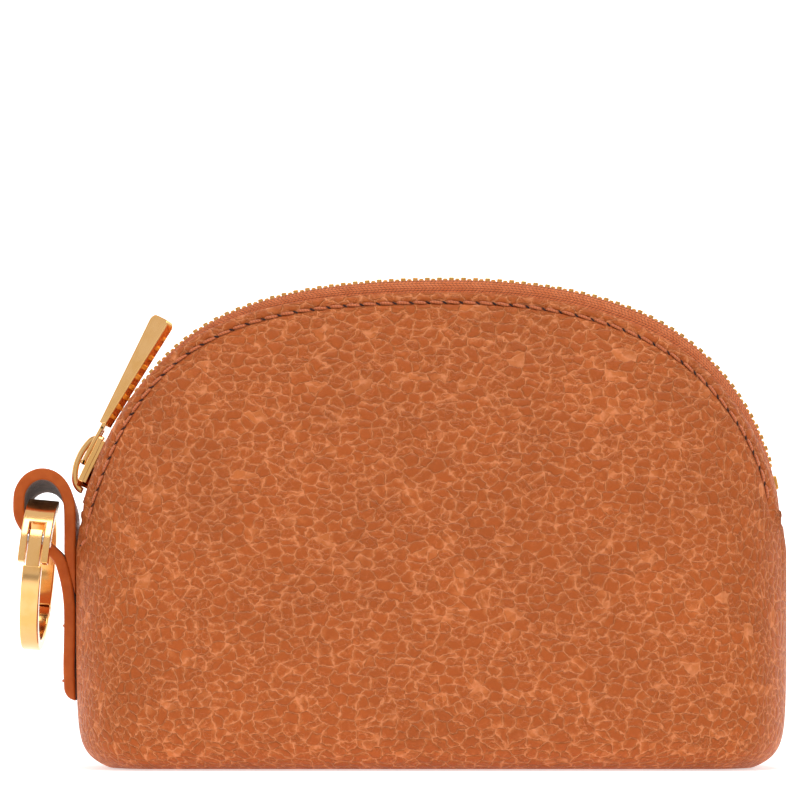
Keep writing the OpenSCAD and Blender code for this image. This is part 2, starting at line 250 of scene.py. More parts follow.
# ------------------------------------------------------------------ material helpers
def srgb(r, g, b):
    return tuple((c / 255 / 12.92) if c / 255 <= 0.04045 else ((c / 255 + 0.055) / 1.055) ** 2.4 for c in (r, g, b)) + (1.0,)


class Nodes:
    def __init__(self, name):
        self.mat = bpy.data.materials.new(name)
        self.mat.use_nodes = True
        self.nt = self.mat.node_tree
        self.nt.nodes.clear()
        self.out = self.nt.nodes.new("ShaderNodeOutputMaterial")
        self.bsdf = self.nt.nodes.new("ShaderNodeBsdfPrincipled")
        self.nt.links.new(self.bsdf.outputs[0], self.out.inputs[0])

    def put(self, sock, v):
        if isinstance(v, bpy.types.NodeSocket):
            self.nt.links.new(v, sock)
        elif v is not None:
            sock.default_value = v

    def set(self, **kw):
        for k, v in kw.items():
            self.put(self.bsdf.inputs[k.replace("_", " ")], v)

    def uv(self):
        n = self.nt.nodes.new("ShaderNodeUVMap")
        n.uv_map = "UVMap"
        return n.outputs[0]

    def obj(self):
        return self.nt.nodes.new("ShaderNodeTexCoord").outputs["Object"]

    def mapping(self, vec, scale=(1, 1, 1), loc=(0, 0, 0), rot=(0, 0, 0)):
        n = self.nt.nodes.new("ShaderNodeMapping")
        self.put(n.inputs["Vector"], vec)
        n.inputs["Scale"].default_value = scale
        n.inputs["Location"].default_value = loc
        n.inputs["Rotation"].default_value = rot
        return n.outputs[0]

    def noise(self, vec, scale, detail=2, rough=0.5, dist=0.0, out="Fac"):
        n = self.nt.nodes.new("ShaderNodeTexNoise")
        self.put(n.inputs["Vector"], vec)
        n.inputs["Scale"].default_value = scale
        n.inputs["Detail"].default_value = detail
        n.inputs["Roughness"].default_value = rough
        n.inputs["Distortion"].default_value = dist
        return n.outputs[out]

    def voronoi(self, vec, scale, feature="DISTANCE_TO_EDGE", rnd=1.0, out="Distance", dims="2D"):
        n = self.nt.nodes.new("ShaderNodeTexVoronoi")
        n.voronoi_dimensions = dims
        n.feature = feature
        self.put(n.inputs["Vector"], vec)
        n.inputs["Scale"].default_value = scale
        n.inputs["Randomness"].default_value = rnd
        return n.outputs[out]

    def math(self, op, a, b=None, c=None, clamp=False):
        n = self.nt.nodes.new("ShaderNodeMath")
        n.operation = op
        n.use_clamp = clamp
        for i, v in enumerate((a, b, c)):
            self.put(n.inputs[i], v)
        return n.outputs[0]

    def vmath(self, op, a, b=None, scale=None):
        n = self.nt.nodes.new("ShaderNodeVectorMath")
        n.operation = op
        self.put(n.inputs[0], a)
        self.put(n.inputs[1], b)
        if scale is not None:
            self.put(n.inputs["Scale"], scale)
        return n.outputs[0]

    def step(self, v, lo, hi, a=0.0, b=1.0):
        n = self.nt.nodes.new("ShaderNodeMapRange")
        n.interpolation_type = "SMOOTHSTEP"
        self.put(n.inputs["Value"], v)
        for k, x in (("From Min", lo), ("From Max", hi), ("To Min", a), ("To Max", b)):
            self.put(n.inputs[k], x)
        return n.outputs[0]

    def mix(self, f, a, b, kind="MIX"):
        n = self.nt.nodes.new("ShaderNodeMix")
        n.data_type = "RGBA"
        n.blend_type = kind
        self.put(n.inputs["Factor"], f)
        self.put(n.inputs[6], a)
        self.put(n.inputs[7], b)
        return n.outputs[2]

    def xyz(self, vec):
        n = self.nt.nodes.new("ShaderNodeSeparateXYZ")
        self.put(n.inputs[0], vec)
        return n.outputs

    def join_xyz(self, x, y, z=0.0):
        n = self.nt.nodes.new("ShaderNodeCombineXYZ")
        for i, v in enumerate((x, y, z)):
            self.put(n.inputs[i], v)
        return n.outputs[0]

    def bump(self, height, distance, strength=1.0, normal=None):
        n = self.nt.nodes.new("ShaderNodeBump")
        n.inputs["Strength"].default_value = strength
        n.inputs["Distance"].default_value = distance
        self.put(n.inputs["Height"], height)
        self.put(n.inputs["Normal"], normal)
        return n.outputs[0]


def leather_material(name, cell, crease, painted_highlight, size=1.0, depth=0.00045, rough=0.45):
    """Pebbled calf: rounded pebbles of uneven size, parted by narrow creases. UV is in mm."""
    m = Nodes(name)
    uv = m.uv()
    warp = m.vmath("SUBTRACT", m.noise(uv, 0.33 / size, 2, 0.55, out="Color"), (0.5, 0.5, 0.5))
    wv = m.vmath("ADD", uv, m.vmath("SCALE", warp, scale=2.2 * size))
    fine = m.vmath("SUBTRACT", m.noise(uv, 1.1 / size, 2, 0.55, out="Color"), (0.5, 0.5, 0.5))
    wv = m.vmath("ADD", wv, m.vmath("SCALE", fine, scale=1.0 * size))
    big = m.mapping(wv, scale=(0.38 / size, 0.56 / size, 1), rot=(0, 0, 0.10))
    small = m.mapping(wv, scale=(0.78 / size, 1.05 / size, 1), loc=(3.3, 7.1, 0), rot=(0, 0, -0.2))
    f1 = m.voronoi(big, 1.0, "F1")
    f2 = m.voronoi(big, 1.0, "F2")
    d1 = m.math("MULTIPLY", m.math("SUBTRACT", f2, f1), 0.5)
    g1 = m.voronoi(small, 1.0, "F1")
    g2 = m.voronoi(small, 1.0, "F2")
    d2 = m.math("MULTIPLY", m.math("SUBTRACT", g2, g1), 0.5)
    per_cell = m.xyz(m.voronoi(big, 1.0, "F1", out="Color"))
    # some pebbles are parted again by finer creases
    where = m.step(m.noise(uv, 0.2 / size, 2, 0.6), 0.44, 0.60)
    h1 = m.step(d1, 0.005, 0.13)
    h2 = m.step(d2, 0.0, 0.15)
    h2 = m.math("ADD", h2, m.math("MULTIPLY", m.math("SUBTRACT", 1.0, h2), m.math("SUBTRACT", 1.0, where)))
    dome = m.step(d1, 0.0, 0.36)
    h = m.math("MULTIPLY", h1, m.math("ADD", 0.5, m.math("MULTIPLY", h2, 0.5)))
    wrinkle = m.noise(uv, 3.0 / size, 3, 0.6)
    pore = m.noise(uv, 9.0 / size, 2, 0.5)
    lift = m.math("ADD", 0.85, m.math("MULTIPLY", per_cell[1], 0.3))
    height = m.math("MULTIPLY", m.math("ADD", m.math("MULTIPLY", h, 0.55), m.math("MULTIPLY", dome, 0.30)), lift)
    height = m.math("ADD", height, m.math("MULTIPLY", wrinkle, 0.30))
    height = m.math("ADD", height, m.math("MULTIPLY", pore, 0.06))
    # colour: pebbles darker in the middle, paler on their shoulders; the factor deep stays at 1, so no dark line is
    # drawn in the creases
    tone = m.step(m.noise(uv, 0.045 / size, 3, 0.55), 0.3, 0.7, 0.95, 1.05)
    per = m.math("ADD", 0.95, m.math("MULTIPLY", per_cell[0], 0.10))
    mott = m.math("ADD", 0.92, m.math("MULTIPLY", m.noise(uv, 1.3 / size, 3, 0.6), 0.16))
    deep = m.step(m.math("SUBTRACT", d1, 0.085), -0.03, 0.03, 1.0, 1.0)
    # pale rims along the creases are painted highlight, standing for light from above catching the pebbles' upper edges
    painted_rim = m.step(d1, 0.012, 0.062, 1.0, 0.0)
    painted_rim2 = m.math("MULTIPLY", m.step(d2, 0.012, 0.06, 1.0, 0.0), where)
    painted_rim = m.math("MAXIMUM", painted_rim, m.math("MULTIPLY", painted_rim2, 0.55))
    painted_rim = m.math("MULTIPLY", painted_rim, m.step(m.noise(uv, 1.0 / size, 2, 0.5), 0.3, 0.62, 0.3, 1.0))
    k = m.math("MULTIPLY", m.math("MULTIPLY", m.math("MULTIPLY", tone, per), mott), deep)
    # pebble middles take the cell colour and their shoulders the paler crease colour: partly the leather's own paler
    # creases, partly painted highlight
    core = m.math("MULTIPLY", m.step(d1, 0.05, 0.19), m.math("ADD", 0.6, m.math("MULTIPLY", h2, 0.4)))
    core = m.math("MULTIPLY", core, m.step(m.noise(uv, 0.7 / size, 2, 0.5), 0.2, 0.42, 0.35, 1.0))
    col = m.mix(core, crease, cell)
    col = m.mix(m.math("MULTIPLY", painted_rim, 0.8), col, painted_highlight)
    shade = m.join_xyz(k, k, k)
    col = m.mix(1.0, col, shade, "MULTIPLY")
    r = m.math("ADD", rough, m.math("MULTIPLY", m.math("SUBTRACT", wrinkle, 0.5), 0.18))
    m.set(Base_Color=col, Roughness=r, Normal=m.bump(height, depth, 1.0))
    m.bsdf.inputs["Specular IOR Level"].default_value = 0.2
    m.bsdf.inputs["Sheen Weight"].default_value = 0.0
    m.bsdf.inputs["Sheen Roughness"].default_value = 0.5
    return m.mat


def gold_material(name, base=(250, 205, 140), rough=0.16, wear=0.05, scratch=True):
    m = Nodes(name)
    p = m.obj()
    n1 = m.noise(p, 260, 3, 0.6)
    n2 = m.noise(p, 2600, 2, 0.5)
    r = m.math("ADD", rough - 0.03, m.math("MULTIPLY", n1, wear))
    c = m.mix(m.step(n1, 0.35, 0.7), srgb(*base), srgb(base[0] - 6, base[1] - 10, base[2] - 18))
    m.set(Base_Color=c, Roughness=r, Metallic=1.0)
    if scratch:
        m.set(Normal=m.bump(m.math("ADD", n1, m.math("MULTIPLY", n2, 0.15)), 0.00001, 0.35))
    return m.mat


def edge_paint_material():
    m = Nodes("strap_edge_paint")
    p = m.obj()
    n = m.noise(p, 420, 3, 0.6)
    n2 = m.noise(p, 1900, 2, 0.5)
    col = m.mix(m.step(n, 0.3, 0.75), srgb(178, 80, 26), srgb(190, 92, 34))
    m.set(Base_Color=col, Roughness=m.math("ADD", 0.42, m.math("MULTIPLY", n2, 0.12)), Normal=m.bump(m.math("ADD", n, m.math("MULTIPLY", n2, 0.3)), 0.00006, 0.5))
    m.bsdf.inputs["Specular IOR Level"].default_value = 0.2
    return m.mat


def suede_material():
    m = Nodes("strap_flesh")
    p = m.obj()
    n = m.noise(p, 900, 4, 0.7)
    n2 = m.noise(p, 5200, 2, 0.6)
    col = m.mix(m.step(n, 0.3, 0.7), srgb(60, 42, 36), srgb(112, 84, 70))
    m.set(Base_Color=col, Roughness=0.95, Normal=m.bump(m.math("ADD", n, m.math("MULTIPLY", n2, 0.6)), 0.00018, 0.9))
    m.bsdf.inputs["Sheen Weight"].default_value = 0.3
    return m.mat


def tape_material():
    """Twill zip tape: short slanted floats in rows along the zip, dark between them. UV in mm."""
    m = Nodes("zip_tape_weave")
    x, y, _ = m.xyz(m.uv())
    row = m.math("DIVIDE", y, 0.40)
    rf = m.math("FRACT", row)
    ri = m.math("FLOOR", row)
    # rows in pairs slant opposite ways, as herringbone does
    sign = m.math("SUBTRACT", m.math("MULTIPLY", m.math("FLOOR", m.math("MULTIPLY", m.math("FRACT", m.math("MULTIPLY", ri, 0.25)), 2.0)), 2.0), 1.0)
    u = m.math("ADD", m.math("DIVIDE", x, 0.60), m.math("MULTIPLY", m.math("MULTIPLY", rf, 0.55), sign))
    u = m.math("ADD", u, m.math("MULTIPLY", ri, 0.5))
    uf = m.math("FRACT", u)
    a = m.math("SUBTRACT", 1.0, m.math("POWER", m.math("ABSOLUTE", m.math("SUBTRACT", m.math("MULTIPLY", uf, 2.0), 1.0)), 5.0))
    b = m.math("SUBTRACT", 1.0, m.math("POWER", m.math("ABSOLUTE", m.math("SUBTRACT", m.math("MULTIPLY", rf, 2.0), 1.0)), 4.0))
    h = m.math("MULTIPLY", a, b)
    fuzz = m.noise(m.uv(), 9.0, 3, 0.6)
    strand = m.noise(m.mapping(m.uv(), scale=(4, 26, 1)), 1.0, 2, 0.5)
    mid = m.mix(m.step(m.noise(m.uv(), 0.7, 2), 0.3, 0.7), srgb(218, 118, 68), srgb(232, 134, 84))
    col = m.mix(m.step(h, 0.02, 0.55), srgb(112, 52, 46), mid)
    col = m.mix(m.math("MULTIPLY", strand, 0.35), col, srgb(206, 104, 52))
    hh = m.math("ADD", h, m.math("MULTIPLY", fuzz, 0.25))
    m.set(Base_Color=col, Roughness=0.85, Normal=m.bump(hh, 0.00012, 0.9))
    m.bsdf.inputs["Specular IOR Level"].default_value = 0.2
    m.bsdf.inputs["Sheen Weight"].default_value = 0.08
    return m.mat


def thread_material():
    m = Nodes("stitch_thread")
    p = m.uv()
    x, y, _ = m.xyz(p)
    ply = m.math("SINE", m.math("ADD", m.math("MULTIPLY", x, 14.0), m.math("MULTIPLY", y, 6.2831)))
    n = m.noise(m.obj(), 2200, 2, 0.6)
    col = m.mix(m.step(ply, -1.0, 0.6), srgb(182, 88, 38), srgb(204, 108, 54))
    m.set(Base_Color=col, Roughness=0.6, Normal=m.bump(m.math("ADD", ply, n), 0.00003, 0.5))
    m.bsdf.inputs["Sheen Weight"].default_value = 0.3
    return m.mat


def hole_material():
    m = Nodes("stitch_hole")
    n = m.noise(m.obj(), 1500, 2, 0.5)
    m.set(Base_Color=m.mix(n, srgb(34, 16, 16), srgb(62, 28, 22)), Roughness=0.9)
    return m.mat


def lining_material():
    m = Nodes("lining_cloth")
    x, y, _ = m.xyz(m.uv())
    wx = m.math("SINE", m.math("MULTIPLY", x, 2 * math.pi / 0.38))
    wy = m.math("SINE", m.math("MULTIPLY", y, 2 * math.pi / 0.38))
    h = m.math("MULTIPLY", wx, wy)
    n = m.noise(m.uv(), 0.6, 3, 0.6)
    col = m.mix(m.step(h, -0.8, 0.8), srgb(92, 62, 42), srgb(128, 90, 62))
    col = m.mix(m.math("MULTIPLY", n, 0.35), col, srgb(84, 56, 38))
    m.set(Base_Color=col, Roughness=0.8, Normal=m.bump(m.math("ADD", h, n), 0.00008, 0.8))
    m.bsdf.inputs["Sheen Weight"].default_value = 0.3
    return m.mat


def board_material():
    m = Nodes("stiffener_board")
    n = m.noise(m.obj(), 500, 4, 0.7)
    m.set(Base_Color=m.mix(n, srgb(120, 100, 80), srgb(150, 130, 104)), Roughness=0.9, Normal=m.bump(n, 0.0001, 0.5))
    return m.mat


# for both leathers the third colour is a painted highlight for the crease rims; the second, the crease colour, is
# partly the leather's own tone and partly painted highlight
M_LEATHER = leather_material("pebbled_leather", srgb(178, 86, 32), srgb(200, 109, 53), srgb(224, 140, 92), size=0.88, depth=0.0004)
M_STRAP = leather_material("strap_grain", srgb(178, 84, 34), srgb(198, 106, 54), srgb(216, 130, 82), size=0.8, depth=0.0002)
M_EDGE = edge_paint_material()
M_FLESH = suede_material()
M_TAPE = tape_material()
M_THREAD = thread_material()
M_HOLE = hole_material()
M_LINING = lining_material()
M_BOARD = board_material()
M_GOLD = gold_material("polished_gold", (240, 188, 124), 0.14, 0.05)
M_TOOTH = gold_material("zip_gold", (226, 168, 98), 0.3, 0.12)
M_STEEL = gold_material("spring_steel", (190, 190, 192), 0.3, 0.1)


def give(ob, *mats):
    if len(ob.data.materials):
        ob.data.materials.clear()
    for m in mats:
        ob.data.materials.append(m)
    return ob


# ------------------------------------------------------------------ leather skins
RNG = np.random.default_rng(7)


def skin_columns():
    """Column places of one panel, from the middle of the left side to the middle of the right: (x, share of the side's flat from 0 in the middle to 1)."""
    cols = []
    for k in np.linspace(0, 1, 7)[:-1]:
        cols.append((-HALF_W, k))
    a = np.linspace(90, 0, 27)
    cols += [(-(HALF_W - CORNER_X) - CORNER_X * math.sin(rad(g)), 1.0) for g in a[:-1]]
    cols += [(x, 1.0) for x in np.linspace(-(HALF_W - CORNER_X), HALF_W - CORNER_X, 121)]
    cols += [((HALF_W - CORNER_X) + CORNER_X * math.sin(rad(g)), 1.0) for g in a[::-1][1:]]
    for k in np.linspace(1, 0, 7)[1:]:
        cols.append((HALF_W, k))
    return cols


def undulate(x, z, sd):
    """Slow hollows and swells of soft leather, in mm."""
    f = 0.0
    for kx, kz, a, p, q in ((0.055, 0.07, 0.32, 0.4, 1.0), (0.11, 0.05, 0.2, 2.1, 0.3), (0.16, 0.13, 0.12, 4.0, 2.2), (0.03, 0.14, 0.22, 1.2, 5.1)):
        f = f + a * np.sin(kx * x + p + sd) * np.cos(kz * z + q - sd * 0.7)
    return f


def column_points(x, share, sd, off):
    """Points from the foot (z 0) to the edge of the leather, finely spaced, with the surface's own shape."""
    top = float(z_top(x, sd))
    z = np.concatenate([np.linspace(0, 10, 60)[:-1], np.linspace(10, top, 220)])
    z = top * np.sort(np.unique(np.concatenate([z / top, 1 - (1 - np.linspace(0.9, 1, 60)) ** 1.0])))
    t = z / top
    b = float(round_off(x))
    y = HALF_E + (HALF_D - HALF_E) * b * belly(t)
    k = inset(z)
    edge = smooth(t / 0.15) * smooth((1 - t) / 0.12) * b
    y = y + undulate(x, z, sd) * edge
    xx = x * (1 - k / HALF_W)
    yy = y * share * (1 - k / HALF_D)
    xx = xx - math.copysign(1.0, x) * 0.95 * smooth((z - 34.5) / 7.5) * smooth((abs(x) - 56.2) / 1.6)
    return np.stack([xx, sd * yy, z], 1)


def panel_surface(sd):
    """Finely sampled columns, their arc lengths from the foot."""
    cols = skin_columns()
    pts, arc = [], []
    for x, k in cols:
        p = column_points(x, k, sd, 0)
        a = np.concatenate([[0], np.cumsum(np.linalg.norm(np.diff(p, axis=0), axis=1))])
        pts.append(p)
        arc.append(a)
    return cols, pts, arc


def sample(p, a, s):
    return np.stack([np.interp(s, a, p[:, i]) for i in range(3)], -1)


R_EDGE = 0.62  # radius of the turned edge


def build_skin(sd, name):
    cols, pts, arc = panel_surface(sd)
    C = len(cols)
    # rows by distance below the edge, then shared rows down to the foot
    near = np.array([0, 0.12, 0.25, 0.45, 0.7, 0.95, 1.2, 1.42, 1.6, 1.78, 1.95, 2.15, 2.4, 2.7, 3.1, 3.6, 4.3, 5.2])
    body = np.linspace(0, 1, 58)
    rows = []
    for i in range(C):
        total = arc[i][-1]
        s_here = np.interp(cols[i][0], _tab[sd][:, 0], _ss)
        up = total - R_EDGE - near / float(np.clip(T(s_here)[0], 0.3, 1))  # arc positions near the edge
        low = up[-1]
        down = low * (1 - body[1:])
        rows.append(np.concatenate([up, down]))
    rows = np.array(rows).T  # R x C of arc position
    R = rows.shape[0]
    G = np.zeros((R, C, 3))
    for c in range(C):
        G[:, c] = sample(pts[c], arc[c], rows[:, c])
    # normals of the grid
    du = np.gradient(G, axis=1)
    dv = np.gradient(G, axis=0)
    nrm = np.cross(du, dv)
    ln = np.linalg.norm(nrm, axis=-1, keepdims=True)
    nrm = nrm / np.maximum(ln, 1e-9)
    outward = np.stack([G[..., 0] * 0.02, np.full(G.shape[:2], float(sd)), np.full(G.shape[:2], 0.05)], -1)
    flip = np.sign((nrm * outward).sum(-1, keepdims=True))
    flip[flip == 0] = 1
    nrm = nrm * np.median(flip)
    # a soft bead above the stitch line and a shallow groove along it
    flat = G[..., [0, 2]].reshape(-1, 2)
    d = np.concatenate([np.sqrt(((q[:, None] - _tab[sd][None, ::3]) ** 2).sum(-1).min(1)) for q in np.array_split(flat, 30)]).reshape(R, C)
    front = (np.array([k for _, k in cols]) >= 1.0).astype(float)[None, :]
    bead = 0.16 * np.exp(-(((d - 0.9) / 0.6) ** 2)) - 0.32 * np.exp(-(((d - 1.9) / 0.36) ** 2)) + 0.12 * np.exp(-(((d - 3.0) / 0.8) ** 2))
    G = G + nrm * (bead * front)[..., None]
    # turned edge: half a circle from the outside to the inside, then a short way down inside
    n0, t0 = nrm[0], None
    t0 = G[0] - G[2]
    t0 /= np.linalg.norm(t0, axis=1, keepdims=True)
    centre = G[0] - n0 * R_EDGE
    edge_rows = []
    for a in np.linspace(0, 180, 9)[1:]:
        edge_rows.append(centre + R_EDGE * (n0 * math.cos(rad(a)) + t0 * math.sin(rad(a))))
    inner = edge_rows[-1]
    inner_rows = [G[j] - nrm[j] * 2 * R_EDGE for j in (3, 8, 13, 16)]
    stack = inner_rows[::-1] + edge_rows[::-1] + [G[r] for r in range(R)]
    # base: from the foot in to the middle line y = 0
    foot = G[-1]
    for f in (0.985, 0.95, 0.85, 0.7, 0.5, 0.25, 0.0):
        q = foot.copy()
        q[:, 1] *= f
        q[:, 0] *= 1 - 0.004 * (1 - f)
        q[:, 2] = 0.0
        stack.append(q)
    S = np.array(stack)
    # UV in mm: across, then along each column
    mid = G[min(R - 1, 40)]
    u = np.concatenate([[0], np.cumsum(np.linalg.norm(np.diff(mid, axis=0), axis=1))])
    u -= u[C // 2]
    seg = np.linalg.norm(np.diff(S, axis=0), axis=-1)
    v = np.concatenate([np.zeros((1, C)), np.cumsum(seg, axis=0)])
    v0 = len(inner_rows) + len(edge_rows)
    v = v - v[v0][None, :]
    # measured from the foot upward, so that the grain runs level across the panel
    vv = (v[v0 + R - 1][None, :] - v)
    uvs = np.stack([np.broadcast_to(u[None, :], vv.shape) + (0 if sd < 0 else 400.0), vv], -1).reshape(-1, 2)
    ob = mesh_from(name, S.reshape(-1, 3), grid_faces(len(stack), C), uvs)
    fix_normals(ob)
    # make sure that the outside faces out
    c = ob.data.polygons[(v0 + 20) * (C - 1) + C // 2]
    if c.normal.y * sd < 0:
        ob.data.flip_normals()
    give(ob, M_LEATHER)
    return ob, dict(cols=cols, pts=pts, arc=arc, G=G, nrm=nrm, rows=rows)


front_skin, FS = build_skin(-1, "front_leather")
back_skin, BS = build_skin(1, "back_leather")
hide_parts("leather_tub", "front_lip_leather")
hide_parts("leather_tub", "back_lip_leather")


# ------------------------------------------------------------------ lining, just inside the leather
def build_lining(S, sd, name):
    cols, pts, arc = S["cols"], S["pts"], S["arc"]
    pick = list(range(0, len(cols), 3))
    if pick[-1] != len(cols) - 1:
        pick.append(len(cols) - 1)
    G, nrm = S["G"], S["nrm"]
    rsel = [17] + list(range(20, G.shape[0] - 3, 3))
    out = []
    for r in rsel:
        out.append(np.array([G[r, c] - nrm[r, c] * 1.85 for c in pick]))
    last = out[-1].copy()
    last[:, 2] = np.maximum(last[:, 2] * 0 + 2.75, 2.75)
    out.append(last)
    for f in (0.8, 0.5, 0.0):
        q = last.copy()
        q[:, 1] *= f
        out.append(q)
    P = np.array(out)
    P[..., 2] = np.maximum(P[..., 2], 2.75)
    P[:, :, 0] = np.clip(P[:, :, 0], -56.2, 56.2)
    n = P.shape[1]
    u = np.arange(n) * 2.4
    v = np.arange(P.shape[0]) * 4.0
    uv = np.stack(np.meshgrid(u, v), -1).reshape(-1, 2)
    ob = mesh_from(name, P.reshape(-1, 3), grid_faces(P.shape[0], n), uv)
    fix_normals(ob)
    give(ob, M_LINING)
    sol = ob.modifiers.new("thick", "SOLIDIFY")
    sol.thickness = 0.0003
    sol.offset = 0
    return ob


front_lining = build_lining(FS, -1, "front_lining")
back_lining = build_lining(BS, 1, "back_lining")
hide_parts("lining_tub", "front_lip_lining")
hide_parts("lining_tub", "back_lip_lining")


# ------------------------------------------------------------------ stitching beside the zip
def capsule(p0, p1, r, up, n=8, m=9, sag=0.12):
    """A short bent thread from p0 to p1 (mm), its ends dipping into the leather. Vertices, faces, UVs."""
    p0, p1, up = np.array(p0), np.array(p1), np.array(up)
    ax = p1 - p0
    ln = np.linalg.norm(ax)
    ax = ax / ln
    side = np.cross(ax, up)
    side /= np.linalg.norm(side)
    v, uv = [], []
    for i in range(m):
        f = i / (m - 1)
        c = p0 + ax * ln * f + up * (sag * (1 - (2 * f - 1) ** 4) - sag)
        rr = r * (1 - 0.55 * abs(2 * f - 1) ** 5)
        for j in range(n):
            a = 2 * math.pi * j / n
            v.append(c + rr * (math.cos(a) * side + 0.85 * math.sin(a) * up))
            uv.append((f * ln, j / n))
    faces = grid_faces(m, n, wrap=True)
    faces.append(tuple(range(n - 1, -1, -1)))
    faces.append(tuple(range((m - 1) * n, m * n)))
    return v, faces, uv


def surface_at(S, c_float, below):
    """Point of the skin at a column (fractional) and a distance below the edge of the leather."""
    c0 = int(np.clip(math.floor(c_float), 0, len(S["cols"]) - 2))
    f = c_float - c0
    out = []
    for c in (c0, c0 + 1):
        a = S["arc"][c][-1] - below
        out.append(sample(S["pts"][c], S["arc"][c], np.array([a]))[0])
    return out[0] * (1 - f) + out[1] * f


def stitch_line(S, sd, name_thread, name_hole, below=1.9, pitch=2.7, slant=0.16):
    """Points of a line set in from the leather's edge, one for each column of the panel's front."""
    G, nrm, cols = S["G"], S["nrm"], S["cols"]
    C = len(cols)
    # the line as a polyline over the whole panel
    line, nn = [], []
    near = np.array([0, 0.12, 0.25, 0.45, 0.7, 0.95, 1.2, 1.42, 1.6, 1.78, 1.95, 2.15, 2.4, 2.7, 3.1, 3.6, 4.3, 5.2]) + R_EDGE
    for c in range(C):
        x, k = cols[c]
        if k < 1.0:
            continue
        # distance below the edge measured square to the arch: steep sides need a longer way down the column
        s = np.interp(G[0, c, 0], _tab[sd][:, 0], _ss)
        slope = abs(T(s)[1])
        way = below / max(0.28, math.sqrt(max(0.0, 1 - slope**2)) + 0.0)
        p = sample(S["pts"][c], S["arc"][c], np.array([max(S["arc"][c][-1] - way, 0)]))[0]
        line.append(p)
    line = np.array(line)
    return line


def offset_line(sd, below=1.9):
    """Points on the panel set in from the leather's edge by a distance measured square to the arch."""
    s = np.linspace(0.5, L - 0.5, 900)
    q = A(s) - (edge_w(s, sd) + below)[:, None] * N(s)
    down = np.array([[-57.2, 36.0], [-56.6, 35.95], [-56.1, 36.1], [-55.9, 36.7], [-55.8, 38.0], [-55.6, 39.6]])
    q = np.concatenate([down, q])
    zt = z_top(q[:, 0], sd)
    t = np.clip(q[:, 1] / zt, 0, 0.999)
    y = HALF_E + (HALF_D - HALF_E) * round_off(q[:, 0]) * belly(t)
    edge = smooth(t / 0.15) * smooth((1 - t) / 0.12) * round_off(q[:, 0])
    y = y + undulate(q[:, 0], q[:, 1], sd) * edge
    p = np.stack([q[:, 0], sd * y, q[:, 1]], 1)
    return s, p


def skin_normal(p, sd):
    """Outward normal of the panel near a point, by differences of the surface's formula."""
    def at(x, z):
        zt = z_top(x, sd)
        t = np.clip(z / zt, 0, 0.999)
        y = HALF_E + (HALF_D - HALF_E) * round_off(x) * belly(t)
        return sd * y
    e = 0.15
    x, _, z = p
    dx = (at(x + e, z - 0.3) - at(x - e, z - 0.3)) / (2 * e)
    dz = (at(x, z - 0.1) - at(x, z - 0.7)) / 0.6
    n = np.array([-dx, 1.0, -dz])
    n = n * (sd if n[1] * sd > 0 else -sd) if False else n * sd
    n = np.array([-dx * 1.0, 1.0, -dz]) if sd > 0 else np.array([dx, -1.0, dz])
    return n / np.linalg.norm(n)


def build_stitches(sd, thread_name, hole_name):
    s, p = offset_line(sd)
    arc = np.concatenate([[0], np.cumsum(np.linalg.norm(np.diff(p, axis=0), axis=1))])
    pitch = 2.7
    start, end = 0.4, arc[-1] - 0.8
    count = int((end - start) / pitch)
    tv, tf, tu, hv, hf = [], [], [], [], []
    for i in range(count):
        a0 = start + i * pitch
        c0, c1 = sample(p, arc, np.array([a0 + 0.3]))[0], sample(p, arc, np.array([a0 + pitch - 0.3]))[0]
        n = skin_normal((c0 + c1) / 2, sd)
        ax = (c1 - c0) / np.linalg.norm(c1 - c0)
        side = np.cross(n, ax)
        sl = 0.13
        v, f, uv = capsule(c0 + side * sl + n * 0.03, c1 - side * sl + n * 0.03, 0.24, n)
        base = len(tv)
        tv += v
        tu += uv
        tf += [tuple(base + k for k in q) for q in f]
        # the needle hole between this stitch and the next: a slanting slit
        h = sample(p, arc, np.array([a0]))[0]
        d = ax * 0.82 + side * -0.6
        d /= np.linalg.norm(d)
        w = np.cross(n, d)
        base = len(hv)
        hv.append(h + n * 0.06)
        for j in range(10):
            g = 2 * math.pi * j / 10
            hv.append(h + d * (0.47 * math.cos(g)) + w * (0.16 * math.sin(g)) - n * 0.10)
        hf += [(base, base + 1 + j, base + 1 + (j + 1) % 10) for j in range(10)]
    th = mesh_from(thread_name, np.array(tv), tf, tu)
    fix_normals(th)
    give(th, M_THREAD)
    ho = mesh_from(hole_name, np.array(hv), hf)
    give(ho, M_HOLE)
    return th, ho


front_thread, front_holes = build_stitches(-1, "front_topstitch_thread", "front_needle_holes")
back_thread, back_holes = build_stitches(1, "back_topstitch_thread", "back_needle_holes")
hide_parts("front_topstitch", "end_topstitch")
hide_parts("back_topstitch", "end_topstitch")


